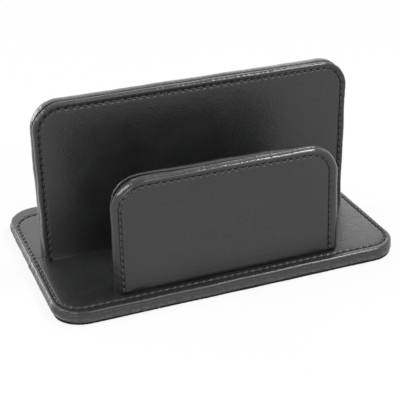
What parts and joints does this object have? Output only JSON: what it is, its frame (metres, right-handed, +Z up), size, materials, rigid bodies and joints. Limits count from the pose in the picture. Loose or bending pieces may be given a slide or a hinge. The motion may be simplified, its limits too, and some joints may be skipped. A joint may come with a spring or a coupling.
{
  "type": "letter holder",
  "caption": "Desk letter holder in black stitched leatherette: a tall and a low upright panel on a rounded base pad, with a letter slot between them.",
  "frame": {"origin": "on the table under the middle of the base pad", "axes": "+X along the panels, to the right when the low panel faces the viewer; -Y to the front, where the low panel stands; +Z up"},
  "size_m": [0.18, 0.115, 0.0894],
  "materials": {
    "leatherette": "black embossed grain, satin",
    "thread": "black twisted polyester",
    "lining": "dark pressed felt",
    "foam": "grey foam sheet",
    "fibreboard": "raw medium density fibreboard",
    "zinc": "bright zinc plate"
  },
  "bodies": {
    "root": {"base_lining": "lining", "base_board": "fibreboard", "base_padding": "foam", "base_front_cover": "leatherette", "base_rear_cover": "leatherette", "base_stitching": "thread", "rear_panel_board": "fibreboard", "rear_panel_front_padding": "foam", "rear_panel_back_padding": "foam", "rear_panel_front_cover": "leatherette", "rear_panel_back_cover": "leatherette", "rear_panel_front_stitching": "thread", "rear_panel_back_stitching": "thread", "rear_panel_left_screw": "zinc", "rear_panel_middle_screw": "zinc", "rear_panel_right_screw": "zinc", "front_panel_board": "fibreboard", "front_panel_front_padding": "foam", "front_panel_back_padding": "foam", "front_panel_front_cover": "leatherette", "front_panel_back_cover": "leatherette", "front_panel_front_stitching": "thread", "front_panel_back_stitching": "thread", "front_panel_left_screw": "zinc", "front_panel_right_screw": "zinc"}
  },
  "joints": []
}
